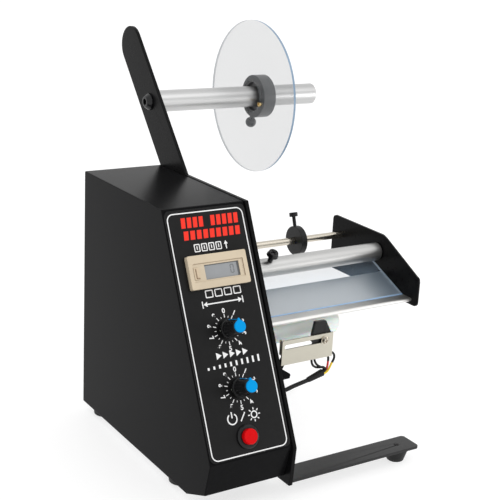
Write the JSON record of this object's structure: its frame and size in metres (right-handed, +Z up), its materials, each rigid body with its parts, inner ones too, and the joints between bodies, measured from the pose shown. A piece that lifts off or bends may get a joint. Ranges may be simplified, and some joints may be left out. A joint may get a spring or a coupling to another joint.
{
  "type": "label dispenser",
  "caption": "Desktop label dispenser: sloping dial panel on a narrow housing, side plate with leaning roll arm, clear roll disc, label bed with peel plate and a sliding gap sensor.",
  "frame": {"origin": "middle of the bounding box at the underside of the rubber feet", "axes": "+X along the roll shaft, from the housing to the label bed; +Y to the back, the panel faces -Y; +Z up"},
  "size_m": [0.232, 0.2975, 0.3177],
  "materials": {
    "black_paint": "satin",
    "panel_black": "matte",
    "zinc_steel": "satin",
    "nickel_steel": "polished",
    "satin_aluminium": "satin",
    "black_anodised": "satin",
    "black_steel": "satin",
    "transformer_iron": "matte",
    "brass": "satin",
    "beige_plastic": "satin",
    "grey_key": "satin",
    "display_plastic": "glossy",
    "black_plastic": "satin",
    "blue_plastic": "glossy",
    "red_plastic": "glossy",
    "white_plastic": "satin",
    "component_grey": "satin",
    "board_green": "satin",
    "clear_acrylic": "glossy",
    "frosted_acrylic": "satin",
    "roller_rubber": "matte",
    "black_rubber": "matte",
    "wire_insulation": "satin",
    "spring_steel": "satin"
  },
  "bodies": {
    "frame": {"side_plate": "black_paint", "housing_cover": "black_paint", "base_plate": "zinc_steel", "rear_panel": "black_paint", "label_panel": "panel_black", "counter_case": "beige_plastic", "counter_window": "display_plastic", "potentiometers": "component_grey", "power_button_bezel": "black_plastic", "control_board": "board_green", "transformer": "transformer_iron", "mains_inlet": "black_plastic", "gear_motor": "zinc_steel", "motor_mount": "zinc_steel", "drive_belt": "black_rubber", "shaft_bushes": "brass", "pinch_spring": "spring_steel", "pinch_pins": "zinc_steel", "roll_shaft": "satin_aluminium", "roll_bolt": "black_steel", "guide_rod": "nickel_steel", "guide_tube": "satin_aluminium", "right_plate": "black_paint", "guide_sheet": "frosted_acrylic", "peel_plate": "nickel_steel", "sensor_arm": "black_paint", "sensor_bracket": "nickel_steel", "sensor_cable": "black_rubber", "cable_grommet": "black_rubber", "front_foot_strip": "black_paint", "rear_foot_strip": "black_paint", "rubber_feet": "black_rubber", "frame_screws": "black_steel"},
    "roll_guide": {"roll_disc": "clear_acrylic", "roll_collar": "black_anodised", "disc_screws": "brass"},
    "roll_screw": {"roll_thumb_screw": "black_steel"},
    "edge_guide": {"guide_collar": "black_anodised"},
    "edge_screw": {"guide_thumb_screw": "black_steel"},
    "tube_clamp_screw": {"tube_screw": "black_steel"},
    "drive": {"drive_gear": "white_plastic", "drive_shaft": "zinc_steel", "drive_roller": "roller_rubber"},
    "motor_output": {"motor_pinion": "brass"},
    "take_up": {"take_up_pulley": "white_plastic", "take_up_spindle": "satin_aluminium"},
    "clip": {"liner_clip": "spring_steel"},
    "pinch_arm": {"pinch_lever": "zinc_steel"},
    "pinch_wheel": {"pinch_roller": "roller_rubber"},
    "sensor": {"sensor_head": "black_plastic", "sensor_wires": "wire_insulation", "wire_sleeve": "black_rubber"},
    "sensor_lock": {"sensor_screw": "nickel_steel"},
    "length_dial": {"length_knob": "black_plastic", "length_knob_cap": "blue_plastic"},
    "speed_dial": {"speed_knob": "black_plastic", "speed_knob_cap": "blue_plastic"},
    "power_switch": {"power_button": "red_plastic"},
    "counter_key": {"counter_button": "grey_key"},
    "fuse_holder": {"fuse_drawer": "black_plastic"}
  },
  "joints": [
    {"name": "roll_guide_slide", "type": "slide", "parent": "frame", "child": "roll_guide", "axis": [1, 0, 0], "range_m": [-0.09, 0.045]},
    {"name": "roll_screw_turn", "type": "hinge", "parent": "roll_guide", "child": "roll_screw", "pos_m": [0.0597, 0.08325, 0.2522], "axis": [0, 0.3907, -0.9205], "range_deg": [0, 360]},
    {"name": "edge_guide_slide", "type": "slide", "parent": "frame", "child": "edge_guide", "axis": [1, 0, 0], "range_m": [-0.09, 0.04]},
    {"name": "edge_screw_turn", "type": "hinge", "parent": "edge_guide", "child": "edge_screw", "pos_m": [0.056, 0.00775, 0.1414], "axis": [0, 0.309, 0.9511], "range_deg": [0, 360]},
    {"name": "tube_screw_turn", "type": "hinge", "parent": "frame", "child": "tube_clamp_screw", "pos_m": [-0.006, -0.04075, 0.1396], "axis": [0, -0.4848, 0.8746], "range_deg": [0, 360]},
    {"name": "drive_turn", "type": "hinge", "parent": "frame", "child": "drive", "pos_m": [-0.016, -0.05555, 0.0869], "axis": [1, 0, 0], "continuous": true},
    {"name": "motor_turn", "type": "hinge", "parent": "frame", "child": "motor_output", "pos_m": [-0.061, -0.02755, 0.0869], "axis": [1, 0, 0], "continuous": true},
    {"name": "take_up_turn", "type": "hinge", "parent": "frame", "child": "take_up", "pos_m": [-0.016, 0.02825, 0.056], "axis": [1, 0, 0], "continuous": true},
    {"name": "clip_slide", "type": "slide", "parent": "take_up", "child": "clip", "axis": [1, 0, 0], "range_m": [0, 0.07]},
    {"name": "pinch_lift", "type": "hinge", "parent": "frame", "child": "pinch_arm", "pos_m": [-0.041, -0.03675, 0.104], "axis": [-1, 0, 0], "range_deg": [0, 8], "stiffness_Nm_per_rad": 0.6, "springref_deg": -22.92, "deforming": ["pinch_spring"]},
    {"name": "pinch_turn", "type": "hinge", "parent": "pinch_arm", "child": "pinch_wheel", "pos_m": [0.004, -0.06475, 0.0951], "axis": [1, 0, 0], "continuous": true},
    {"name": "sensor_slide", "type": "slide", "parent": "frame", "child": "sensor", "axis": [1, 0, 0], "range_m": [-0.018, 0.002], "deforming": ["sensor_cable"]},
    {"name": "sensor_screw_turn", "type": "hinge", "parent": "sensor", "child": "sensor_lock", "pos_m": [0.0207, -0.08675, 0.0905], "axis": [0, -1, 0], "range_deg": [0, 360]},
    {"name": "length_dial_turn", "type": "hinge", "parent": "frame", "child": "length_dial", "pos_m": [-0.083, -0.10684, 0.12312], "axis": [0, -0.8973, 0.4414], "range_deg": [-300, 0]},
    {"name": "speed_dial_turn", "type": "hinge", "parent": "frame", "child": "speed_dial", "pos_m": [-0.083, -0.12534, 0.08552], "axis": [0, -0.8973, 0.4414], "range_deg": [-300, 0]},
    {"name": "power_press", "type": "slide", "parent": "frame", "child": "power_switch", "axis": [0, 0.8973, -0.4414], "range_m": [0, 0.0015], "stiffness_N_per_m": 600, "springref_m": -0.002},
    {"name": "counter_reset_press", "type": "slide", "parent": "frame", "child": "counter_key", "axis": [0, 0.8973, -0.4414], "range_m": [0, 0.001], "stiffness_N_per_m": 500, "springref_m": -0.001},
    {"name": "fuse_drawer_slide", "type": "slide", "parent": "frame", "child": "fuse_holder", "axis": [0, 1, 0], "range_m": [0, 0.018]}
  ],
  "couplings": [
    {"joint": "motor_turn", "follows": "drive_turn", "ratio": -2.1111},
    {"joint": "take_up_turn", "follows": "drive_turn", "ratio": 1},
    {"joint": "pinch_turn", "follows": "drive_turn", "ratio": -1}
  ]
}
